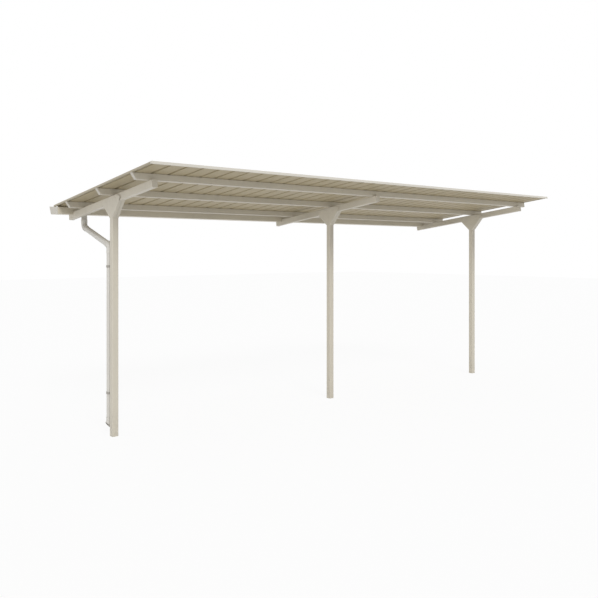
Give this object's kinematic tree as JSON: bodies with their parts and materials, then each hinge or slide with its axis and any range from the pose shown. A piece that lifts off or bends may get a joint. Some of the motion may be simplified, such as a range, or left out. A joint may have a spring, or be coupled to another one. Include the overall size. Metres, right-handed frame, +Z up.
{
  "type": "open cycle shelter",
  "caption": "Open steel cycle shelter: posts with cantilever arms carry purlins and a ribbed lean-to roof that drains to a rear gutter and a downpipe.",
  "frame": {"origin": "centre of the middle post's foot, at ground level", "axes": "+X along the shelter to the right as seen from the front, +Y from the high front edge to the gutter, +Z up"},
  "size_m": [5.88, 2.1996, 2.4675],
  "materials": {
    "frame_paint": "satin beige paint on steel tube and channel",
    "trim_paint": "satin light beige paint on folded steel",
    "roof_paint": "satin tan coating on ribbed steel sheet",
    "gutter_paint": "satin beige paint on folded steel",
    "pipe_plastic": "matt beige-grey drain pipe",
    "clamp_paint": "dull grey-beige paint on pressed steel"
  },
  "bodies": {
    "root": {"post_left": "frame_paint", "post_middle": "frame_paint", "post_right": "frame_paint", "bracket_left": "frame_paint", "bracket_middle": "frame_paint", "bracket_right": "frame_paint", "arm_left": "frame_paint", "arm_middle": "frame_paint", "arm_right": "frame_paint", "arm_end_caps": "frame_paint", "purlin_front": "frame_paint", "purlin_middle": "frame_paint", "purlin_rear": "frame_paint", "purlin_end_caps": "trim_paint", "front_trim": "trim_paint", "gutter_cap_left": "trim_paint", "gutter_cap_right": "trim_paint", "roof_sheet_1": "roof_paint", "roof_sheet_2": "roof_paint", "roof_sheet_3": "roof_paint", "roof_sheet_4": "roof_paint", "roof_sheet_5": "roof_paint", "roof_sheet_6": "roof_paint", "roof_sheet_7": "roof_paint", "roof_sheet_8": "roof_paint", "roof_sheet_9": "roof_paint", "verge_left": "gutter_paint", "verge_right": "gutter_paint", "gutter": "gutter_paint", "gutter_outlet": "pipe_plastic", "downpipe_drop": "pipe_plastic", "elbow_upper": "pipe_plastic", "downpipe_slope": "pipe_plastic", "elbow_lower": "pipe_plastic", "downpipe_main": "pipe_plastic", "downpipe_shoe": "pipe_plastic", "clamp_upper": "clamp_paint", "clamp_lower": "clamp_paint"}
  },
  "joints": []
}
